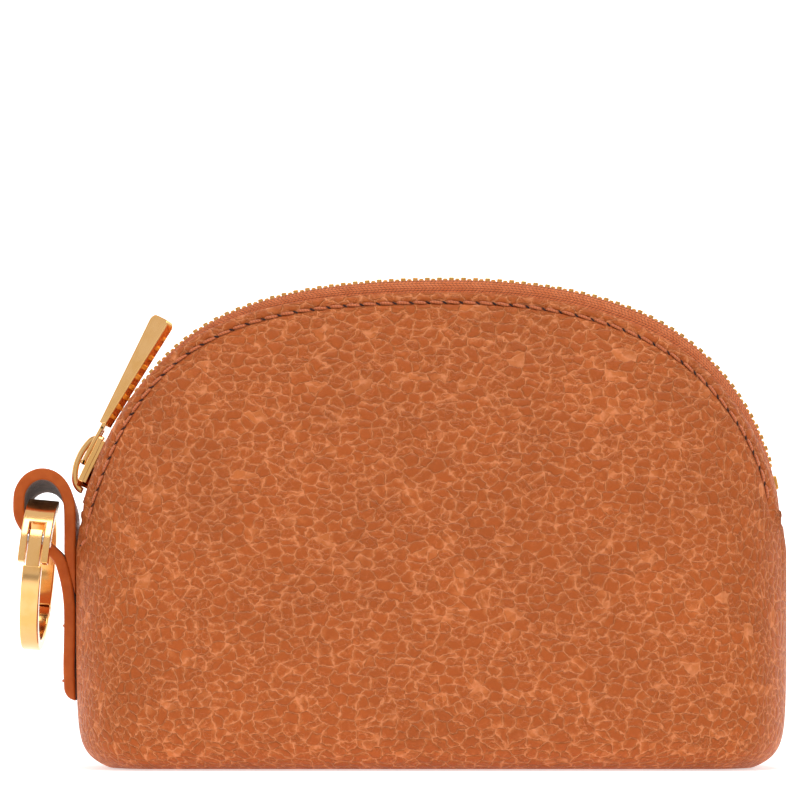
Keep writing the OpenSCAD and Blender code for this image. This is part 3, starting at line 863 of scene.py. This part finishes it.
# ------------------------------------------------------------------ zip tapes
def build_tape(S, sd, name):
    s = np.linspace(0.6, L - 0.6, 330)
    c, n = chain(s), N(s)
    e = E(s, sd)
    rows = []
    # the skin's edge and a point under it, by column
    x_cols = S["G"][0, :, 0]
    keep = [i for i, (x, k) in enumerate(S["cols"]) if k == 1.0]
    # order by x
    G0 = S["G"][:, keep]
    N0 = S["nrm"][:, keep]
    xs = G0[0, :, 0]
    order = np.argsort(xs)
    def under(row, depth):
        P = (G0[row] - N0[row] * depth)[order]
        return np.stack([np.interp(e[:, 0], xs[order], P[:, i]) for i in range(3)], 1)
    def flat(y, lift):
        q = c + (0.2 + lift)[:, None] * n if hasattr(lift, "__len__") else c + (0.2 + lift) * n
        return np.stack([q[:, 0], np.full(len(s), sd * y), q[:, 1]], 1)
    p_in = flat(0.55, 0.12)
    p0 = flat(0.95, 0.05)
    p1 = flat(1.7, 0.0)
    p2 = flat(2.5, -0.02)
    p3 = flat(3.2, -0.12)
    u0 = under(0, 1.45)
    u1 = under(12, 1.55)
    u2 = under(17, 1.6)
    mid = (p3 + u0) / 2 + np.stack([n[:, 0] * 0.18, np.zeros(len(s)), n[:, 1] * 0.18], 1)
    rows = [p_in, p0, (p0 + p1) / 2, p1, (p1 + p2) / 2, p2, p3, mid, u0, u1, u2]
    P = np.array(rows)
    v = np.concatenate([[0], np.cumsum(np.linalg.norm(np.diff(P[:, 165], axis=0), axis=1))])
    uv = np.stack(np.meshgrid(s, v), -1).reshape(-1, 2)
    ob = mesh_from(name, P.reshape(-1, 3), grid_faces(len(rows), len(s)), uv)
    fix_normals(ob)
    f = ob.data.polygons[4 * (len(s) - 1) + 160]
    if f.normal.z < 0:
        ob.data.flip_normals()
    sol = ob.modifiers.new("thick", "SOLIDIFY")
    sol.thickness = 0.00035
    sol.offset = -1
    give(ob, M_TAPE)
    return ob


front_tape = build_tape(FS, -1, "front_zip_tape")
back_tape = build_tape(BS, 1, "back_zip_tape")
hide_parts("front_tape", "zip_end_left", "zip_end_right")
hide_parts("back_tape", "zip_end_left", "zip_end_right")


# ------------------------------------------------------------------ zip elements
def tooth_template():
    """One metal element: jaws round the tape's bead, a waist, and a rounded head with a nib. x along the zip, y across, z out."""
    outline = [(-0.42, -2.15), (0.42, -2.15), (0.42, -1.0), (0.33, -0.75), (0.30, -0.35), (0.36, 0.05), (0.30, 0.34), (0.0, 0.46),
               (-0.30, 0.34), (-0.36, 0.05), (-0.30, -0.35), (-0.33, -0.75), (-0.42, -1.0)]
    ob = prism("tmp_tooth", outline, -0.7, 0.7, Matrix.Identity(4), bevel=0.13, seg=2)
    dg = bpy.context.evaluated_depsgraph_get()
    me = bpy.data.meshes.new_from_object(ob.evaluated_get(dg), depsgraph=dg)
    v = np.array([x.co for x in me.vertices]) / MM
    f = [tuple(p.vertices) for p in me.polygons]
    bpy.data.objects.remove(ob)
    bpy.data.meshes.remove(me)
    return v, f


TV, TF = tooth_template()
FIRST, PITCH = 9.0 - 0.8, 1.97
N_TEETH = int(math.floor((L - 7 - FIRST) / (PITCH / 2)))


def build_teeth(sd, name):
    vs, fs = [], []
    for i in range(N_TEETH + 1):
        if (i % 2 == 0) != (sd < 0):
            continue
        s = np.array([FIRST + i * PITCH / 2])
        c, t, n = chain(s)[0], T(s)[0], N(s)[0]
        v = TV.copy()
        v[:, 1] *= -sd
        q = np.stack([c[0] + v[:, 0] * t[0] + v[:, 2] * n[0], v[:, 1], c[1] + v[:, 0] * t[1] + v[:, 2] * n[1]], 1)
        base = sum(len(x) for x in vs)
        vs.append(q)
        fs += [tuple(base + k for k in (f if sd < 0 else f[::-1])) for f in TF]
    ob = mesh_from(name, np.concatenate(vs), fs)
    fix_normals(ob)
    give(ob, M_TOOTH)
    return ob


front_teeth = build_teeth(-1, "front_zip_elements")
back_teeth = build_teeth(1, "back_zip_elements")
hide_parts("front_teeth", "end_teeth")
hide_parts("back_teeth", "end_teeth")

# fabric and elements that cross the lips' hinges
for ob, b in ((front_skin, "front_lip"), (front_lining, "front_lip"), (front_thread, "front_lip"), (front_holes, "front_lip"), (front_tape, "front_lip"), (front_teeth, "front_lip"),
              (back_skin, "back_lip"), (back_lining, "back_lip"), (back_thread, "back_lip"), (back_holes, "back_lip"), (back_tape, "back_lip"), (back_teeth, "back_lip")):
    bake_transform(ob)


# ------------------------------------------------------------------ slider, crown, pull
def frame_xz(ox, oz, tilt):
    """Local x along the zip, y across, z outward, in mm."""
    a = rad(tilt)
    return Matrix(((math.cos(a), 0, -math.sin(a), ox), (0, 1, 0, 0), (math.sin(a), 0, math.cos(a), oz), (0, 0, 0, 1)))


SO = chain(np.array([9.0]))[0]
SF = frame_xz(SO[0], SO[1], 65)
PLATE = [(-5.5, -1.9), (-4.6, -3.1), (-1.8, -3.1), (1.2, -2.35), (3.0, -2.35), (3.6, -1.7), (3.6, 1.7), (3.0, 2.35), (1.2, 2.35), (-1.8, 3.1), (-4.6, 3.1), (-5.5, 1.9)]
top_plate = prism("t1", PLATE, 1.15, 2.1, SF, 0.22, 3)
low_plate = prism("t2", PLATE, -2.1, -1.15, SF, 0.22, 3)
post = prism("t3", [(-5.3, 0), (-4.4, -0.8), (-2.4, 0), (-4.4, 0.8)], -1.3, 1.3, SF, 0)
flange = []
for sd in (-1, 1):
    o = [(-4.5, sd * 3.08), (-1.8, sd * 3.08), (1.2, sd * 2.33), (2.9, sd * 2.33), (2.9, sd * 1.95), (1.2, sd * 1.95), (-1.8, sd * 2.7), (-4.5, sd * 2.7)]
    flange.append(prism("t4", o, 0.72, 1.3, SF, 0.08, 2))
    flange.append(prism("t5", o, -1.3, -0.72, SF, 0.08, 2))
slider = join("zip_slider", [top_plate, low_plate, post, *flange])
give(slider, M_GOLD)
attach(slider, "slider")
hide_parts("slider_body")


def sweep(name, path, normals, prof, matrix, cap=True, uvs=True, mats=None):
    """prof: (across, thick) points swept along path (x, z in the local frame), thick along each point's own normal."""
    verts, uv = [], []
    acc = 0.0
    plen = np.concatenate([[0], np.cumsum(np.linalg.norm(np.diff(np.array(prof + [prof[0]]), axis=0), axis=1))])
    for i, (p, n) in enumerate(zip(path, normals)):
        if i:
            acc += float(np.linalg.norm(np.array(p) - np.array(path[i - 1])))
        for j, (w, h) in enumerate(prof):
            verts.append(tuple(matrix @ Vector((p[0] + n[0] * h, w, p[1] + n[1] * h))))
            uv.append((acc, plen[j]))
    n = len(prof)
    faces = grid_faces(len(path), n, wrap=True)
    if mats is not None:
        mats = [mats[k % n] for k in range(len(faces))]
    if cap:
        faces += [tuple(range(n - 1, -1, -1)), tuple(range((len(path) - 1) * n, len(path) * n))]
        if mats is not None:
            mats += [1, 1]
    ob = mesh_from(name, np.array(verts), faces, uv, mats)
    fix_normals(ob)
    return ob


def curve_through(points, n):
    """A smooth path through points (Catmull-Rom, evenly resampled), and its normals on the left."""
    P = np.array(points, float)
    Q = np.vstack([2 * P[0] - P[1], P, 2 * P[-1] - P[-2]])
    out = []
    for i in range(1, len(Q) - 2):
        for t in np.linspace(0, 1, 24, endpoint=False):
            a, b, c, d = Q[i - 1], Q[i], Q[i + 1], Q[i + 2]
            out.append(0.5 * ((2 * b) + (c - a) * t + (2 * a - 5 * b + 4 * c - d) * t * t + (3 * b - a - 3 * c + d) * t**3))
    out.append(P[-1])
    out = np.array(out)
    acc = np.concatenate([[0], np.cumsum(np.linalg.norm(np.diff(out, axis=0), axis=1))])
    s = np.linspace(0, acc[-1], n)
    r = np.stack([np.interp(s, acc, out[:, 0]), np.interp(s, acc, out[:, 1])], 1)
    d = np.gradient(r, axis=0)
    d /= np.linalg.norm(d, axis=1, keepdims=True)
    return r, np.stack([-d[:, 1], d[:, 0]], 1)


def rounded_profile(w, h, r, k=4):
    pts = []
    for cx, cy, a0 in ((w - r, h - r, 0), (-(w - r), h - r, 90), (-(w - r), -(h - r), 180), (w - r, -(h - r), 270)):
        for i in range(k + 1):
            a = rad(a0 + 90 * i / k)
            pts.append((cx + r * math.cos(a), cy + r * math.sin(a)))
    return pts


CROWN = [(-5.95, 0.9), (-5.85, 1.6), (-5.2, 2.5), (-4.0, 3.15), (-2.4, 3.6), (-0.6, 3.7), (1.1, 3.45), (2.4, 2.95), (3.05, 2.0)]
path, nn = curve_through(CROWN, 40)
crown = sweep("slider_crown_bail", path, nn, rounded_profile(0.8, 0.5, 0.3), SF)
give(crown, M_GOLD)
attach(crown, "slider")
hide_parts("slider_crown")

PU, PN = -1.6, 2.62
PF = SF @ Matrix.Translation((PU, 0, PN)) @ Matrix.Rotation(rad(4), 4, "Y")
arms = []
for sd in (-1, 1):
    pth, nrm_ = curve_through([(-0.3, -0.1), (0.6, 0.02), (3, 0.05), (6.6, 0.05)], 16)
    arms.append(sweep("t6", pth, nrm_, [(a + sd * 1.55, b) for a, b in rounded_profile(0.38, 0.36, 0.2)], PF))
bar = prism("t7", [(0.42 * math.cos(rad(a)), 0.42 * math.sin(rad(a))) for a in range(0, 360, 20)], -1.93, 1.93,
            PF @ Matrix.Rotation(rad(90), 4, "X"), 0)
yoke = prism("t8", [(6.1, -1.93), (7.35, -1.93), (7.35, 1.93), (6.1, 1.93)], -0.32, 0.42, PF, 0.14, 2)
TW = PF @ Matrix.Rotation(rad(42), 4, "X")
tip = []
for a in range(-90, 91, 10):
    y0 = 1.25 if a > 0 else (-1.25 if a < 0 else 0)
    tip.append((25.8 + 1.2 * math.cos(rad(a)), y0 + 1.2 * math.sin(rad(a))))
paddle = prism("t9", [(7.0, -0.85)] + tip + [(7.0, 0.85)], -0.75, 0.75, TW, 0.16, 3, angle=30)
puller = join("zip_pull", arms + [bar, yoke, paddle])
give(puller, M_GOLD)
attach(puller, "puller")
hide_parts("puller")


# ------------------------------------------------------------------ stops at the ends of the zip
def on_chain(s):
    c, t = chain(np.array([s]))[0], T(np.array([s]))[0]
    return frame_xz(c[0], c[1], math.degrees(math.atan2(t[1], t[0])))


stops = join("zip_top_stops", [prism("t10", [(-0.7, sd * 0.45), (0.7, sd * 0.45), (0.7, sd * 2.05), (-0.7, sd * 2.05)], -0.7, 0.7, on_chain(1.9), 0.25, 3) for sd in (-1, 1)])
give(stops, M_TOOTH)
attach(stops, "pouch")
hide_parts("top_stops")
stop2 = prism("zip_bottom_stop", [(-1.15, -1.65), (1.15, -1.65), (1.15, 1.65), (-1.15, 1.65)], -0.8, 0.8, on_chain(L - 4.6), 0.3, 3)
give(stop2, M_TOOTH)
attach(stop2, "pouch")
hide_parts("bottom_stop")

# ------------------------------------------------------------------ strap
SX = -HALF_W - 0.12
LOOP = [(SX - 0.95, 28.2), (SX - 0.95, 30.2), (SX - 0.95, 32.5), (SX - 0.95, 36), (SX - 0.95, 39.5), (SX - 1.1, 43), (-59.9, 45.6), (-61.5, 47.3), (-63.6, 47.8), (-65.6, 47.0), (-66.9, 45.2),
        (-67.2, 43.1), (-67.0, 40.8), (-65.8, 38.7), (-63.8, 36.9), (-61.9, 35.3), (-60.6, 33.8), (-59.9, 31.8), (-59.3, 29.2), (-58.98, 26.6),
        (SX - 0.98, 24.0), (SX - 1.02, 20), (SX - 1.1, 16.5), (SX - 1.0, 13.5), (SX - 0.97, 10.8)]
path, nn = curve_through(LOOP, 220)
n_path = len(path)
prof = rounded_profile(4.5, 0.93, 0.42, 4)
# the two pointed ends are skived thin
scale_h = np.ones(n_path)
d_end = np.linspace(0, 1, n_path)
scale_h *= np.clip(0.08 + d_end / 0.105 * 0.92, 0.08, 1)
tail_left = (path[:, 1] - path[-1, 1]) / 2.3
scale_h = np.where((d_end > 0.9) & (tail_left < 1), np.maximum(0.12, np.sqrt(np.clip(1 - (1 - np.clip(tail_left, 0, 1)) ** 2, 0, 1))), scale_h)
path = path.copy()
path[:, 0] += np.where((d_end > 0.9) | (d_end < 0.12), 0.93 * (1 - scale_h), 0)
verts, uv = [], []
acc = 0.0
plen = [0.0]
for a, b in zip(prof, prof[1:]):
    plen.append(plen[-1] + math.dist(a, b))
for i in range(n_path):
    if i:
        acc += float(np.linalg.norm(path[i] - path[i - 1]))
    for j, (w, h) in enumerate(prof):
        hh = h * scale_h[i]
        hang = 1.5 * (w + 4.5) / 9 * float(smooth((path[i][1] - 37) / 8)) + 0.5 * (w + 4.5) / 9 * float(smooth((path[i][1] - 30) / 4))
        verts.append((path[i][0] + nn[i][0] * hh, w * (1 - 0.12 * (1 - scale_h[i])), path[i][1] + nn[i][1] * hh - hang))
        uv.append((w, acc))
m_prof = []
n_prof = len(prof)
for j in range(n_prof):
    a, b = prof[j], prof[(j + 1) % n_prof]
    if abs(a[0]) > 3.99 and abs(b[0]) > 3.99 and a[0] * b[0] > 0:
        m_prof.append(1)
    elif a[1] > 0:
        m_prof.append(0)
    else:
        m_prof.append(2)
faces = grid_faces(n_path, n_prof, wrap=True)
mats = [m_prof[k % n_prof] for k in range(len(faces))]
faces += [tuple(range(n_prof - 1, -1, -1)), tuple(range((n_path - 1) * n_prof, n_path * n_prof))]
mats += [1, 1]
strap = mesh_from("key_strap", np.array(verts), faces, uv, mats)
fix_normals(strap)
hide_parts("strap_tail", "strap_loop")
# left of the path's direction is the outside or the inside of the loop: the path runs up, over to the left and down, so left is the flesh side below
give(strap, M_FLESH, M_EDGE, M_STRAP)
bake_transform(strap)

ss = []
for z in (14, 23):
    for i in (-1, 0, 1):
        x = SX - 2.02 - (0.1 if z == 14 else 0)
        v, f, u_ = capsule((x, i * 2.7 - 1.0, z), (x, i * 2.7 + 1.0, z), 0.25, (-1, 0, 0))
        ss.append((v, f, u_))
tv, tf, tu = [], [], []
for v, f, u_ in ss:
    b = len(tv)
    tv += v
    tu += u_
    tf += [tuple(b + k for k in q) for q in f]
sst = mesh_from("strap_stitch_thread", np.array(tv), tf, tu)
fix_normals(sst)
give(sst, M_THREAD)
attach(sst, "pouch")
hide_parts("strap_stitches")

# ------------------------------------------------------------------ key ring
RC = (-64.35, 31.3)
RR, RT = 12.35, 1.8
RM = RR - RT / 2
LEAN = 5.3
RF = Matrix.Translation((RC[0], 0, RC[1])) @ Matrix.Rotation(rad(LEAN), 4, "Y")


def ring_cells(name, phis, xs, inside, r_in, r_out, bevel=0.22, seg=3):
    """A band piece: cells of a (angle, across) grid that are inside the shape, given thickness from r_in to r_out."""
    ok = {}
    for i in range(len(phis) - 1):
        for j in range(len(xs) - 1):
            if inside((phis[i] + phis[i + 1]) / 2, (xs[j] + xs[j + 1]) / 2):
                ok[i, j] = True
    verts, index, faces = [], {}, []
    def vid(i, j, k):
        key = (i, j, k)
        if key not in index:
            r = r_out if k else r_in
            a = rad(phis[i])
            index[key] = len(verts)
            verts.append(tuple(RF @ Vector((xs[j], r * math.cos(a), r * math.sin(a)))))
        return index[key]
    for (i, j) in ok:
        for k in (0, 1):
            q = (vid(i, j, k), vid(i + 1, j, k), vid(i + 1, j + 1, k), vid(i, j + 1, k))
            faces.append(q if k else q[::-1])
        for di, dj, a, b in ((-1, 0, (i, j), (i, j + 1)), (1, 0, (i + 1, j), (i + 1, j + 1)), (0, -1, (i, j), (i + 1, j)), (0, 1, (i, j + 1), (i + 1, j + 1))):
            if (i + di, j + dj) not in ok:
                faces.append((vid(*a, 0), vid(*b, 0), vid(*b, 1), vid(*a, 1)))
    ob = mesh_from(name, np.array(verts), faces)
    fix_normals(ob)
    if bevel:
        add_bevel(ob, bevel, seg, 50)
    return ob


def steps(a, b, d=3.0):
    return list(np.linspace(a, b, max(2, int(round((b - a) / d)) + 1)))


# a little slack keeps the thin slot open beside the tongue
phis = steps(98, 137)[:-1] + steps(137, 171)
fork = ring_cells("t11", phis, [-2.45, -1.28, 0, 1.28, 2.45], lambda f, x: not (f > 137 and abs(x) < 1.28), RR - RT - 0.1, RR + 0.1, 0.2)
main = ring_cells("t12", steps(333, 459), [-1.5, 0, 1.5], lambda f, x: True, RR - RT, RR, 0.3)
lip_ = ring_cells("t13", steps(325.5, 333.6, 2), [-1.5, 0, 1.5], lambda f, x: True, RR - 0.75, RR, 0.15)
ring = join("key_ring_body", [fork, main, lip_])
give(ring, M_GOLD)
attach(ring, "key_ring")
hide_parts("ring_body")
tongue = ring_cells("t14", steps(143.5, 175, 3), [-1.07, 0, 1.07], lambda f, x: True, RR - RT, RR, 0.18)
gband = ring_cells("t15", steps(173.5, 324.3), [-1.5, 0, 1.5], lambda f, x: True, RR - RT, RR, 0.3)
gnose = ring_cells("t16", steps(323, 331.3, 2), [-1.45, 0, 1.45], lambda f, x: True, RR - RT + 0.02, RR - 0.98, 0.15)
gate = join("key_ring_gate", [tongue, gband, gnose])
give(gate, M_GOLD)
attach(gate, "ring_gate")
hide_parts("gate")
for n, mt, sl in (("gate_pin", M_GOLD, "gold"), ("gate_spring", M_STEEL, "steel"), ("base_stiffener", M_BOARD, "board")):
    give(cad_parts[n], mt)

# ------------------------------------------------------------------ stage and light
fl = bpy.data.meshes.new("floor")
fl.from_pydata([(-6, -6, -0.0002), (6, -6, -0.0002), (6, 6, -0.0002), (-6, 6, -0.0002)], [], [(0, 1, 2, 3)])
floor = link("floor", fl)
mf = Nodes("pale_floor")
fade = mf.step(mf.xyz(mf.obj())[1], -0.30, -0.10, 0.25, 1.0)
mf.set(Base_Color=mf.mix(fade, (0.1, 0.1, 0.1, 1), (0.75, 0.75, 0.75, 1)), Roughness=0.8, Emission_Strength=mf.math("MULTIPLY", fade, 0.55))
mf.bsdf.inputs["Emission Color"].default_value = (1, 1, 1, 1)
give(floor, mf.mat)
bd = bpy.data.meshes.new("backdrop")
bd.from_pydata([(-6, 2.5, -0.5), (6, 2.5, -0.5), (6, 2.5, 4), (-6, 2.5, 4)], [], [(0, 1, 2, 3)])
backdrop = link("backdrop", bd)
mb = Nodes("white_backdrop")
mb.set(Base_Color=(0.8, 0.8, 0.8, 1), Roughness=1.0)
mb.bsdf.inputs["Emission Color"].default_value = (1, 1, 1, 1)
mb.bsdf.inputs["Emission Strength"].default_value = 1.0
give(backdrop, mb.mat)

world = bpy.data.worlds.new("world")
bpy.context.scene.world = world
world.use_nodes = True
wn = world.node_tree.nodes["Background"]
W = world.node_tree
WORLD, WORLD_LOW = 0.82, 0.30


def wnode(kind, **kw):
    n = W.nodes.new(kind)
    for k, v in kw.items():
        setattr(n, k, v)
    return n


def wlink(a, sock):
    W.links.new(a, sock) if isinstance(a, bpy.types.NodeSocket) else setattr(sock, "default_value", a)


def wmath(op, a, b):
    n = wnode("ShaderNodeMath", operation=op)
    wlink(a, n.inputs[0])
    wlink(b, n.inputs[1])
    return n.outputs[0]


def wstep(v, lo, hi, a, b):
    n = wnode("ShaderNodeMapRange", interpolation_type="SMOOTHSTEP")
    for k, x in (("Value", v), ("From Min", lo), ("From Max", hi), ("To Min", a), ("To Max", b)):
        wlink(x, n.inputs[k])
    return n.outputs[0]


sx = wnode("ShaderNodeSeparateXYZ")
W.links.new(wnode("ShaderNodeTexCoord").outputs["Generated"], sx.inputs[0])
wx, wy, wz = sx.outputs
low = wstep(wz, -0.30, 0.05, WORLD_LOW, 1.0)
strip = wmath("MULTIPLY", wstep(wmath("ABSOLUTE", wmath("SUBTRACT", wx, 0.42), 0.0), 0.10, 0.20, 0.25, 1.0), 1.0)
strip2 = wstep(wmath("ABSOLUTE", wmath("ADD", wx, 0.36), 0.0), 0.05, 0.13, 0.35, 1.0)
wlink(wmath("MULTIPLY", wmath("MULTIPLY", wmath("MULTIPLY", low, strip), strip2), WORLD), wn.inputs[1])
wn.inputs[0].default_value = (1, 1, 1, 1)


def area(name, loc, target, size, power, size_y=None, col=(1, 1, 1)):
    ld = bpy.data.lights.new(name, "AREA")
    ld.energy = power
    ld.size = size
    ld.color = col
    if size_y:
        ld.shape = "RECTANGLE"
        ld.size_y = size_y
    ob = bpy.data.objects.new(name, ld)
    bpy.context.scene.collection.objects.link(ob)
    ob.location = loc
    ob.rotation_mode = "QUATERNION"
    ob.rotation_quaternion = (Vector(target) - Vector(loc)).to_track_quat("-Z", "Y")
    return ob


area("top_softbox", (0.05, -0.12, 0.75), (0, 0, 0.04), 0.5, 2.6, 0.35)
area("left_softbox", (-0.75, -0.45, 0.35), (0, 0, 0.04), 0.45, 0.6, 0.7)
area("right_softbox", (0.75, -0.5, 0.35), (0, 0, 0.04), 0.45, 0.6, 0.7)

bpy.context.scene.view_settings.view_transform = "Standard"
bpy.context.scene.view_settings.look = "None"
bpy.context.scene.view_settings.exposure = 0.0
bpy.context.scene.view_settings.gamma = 1.0
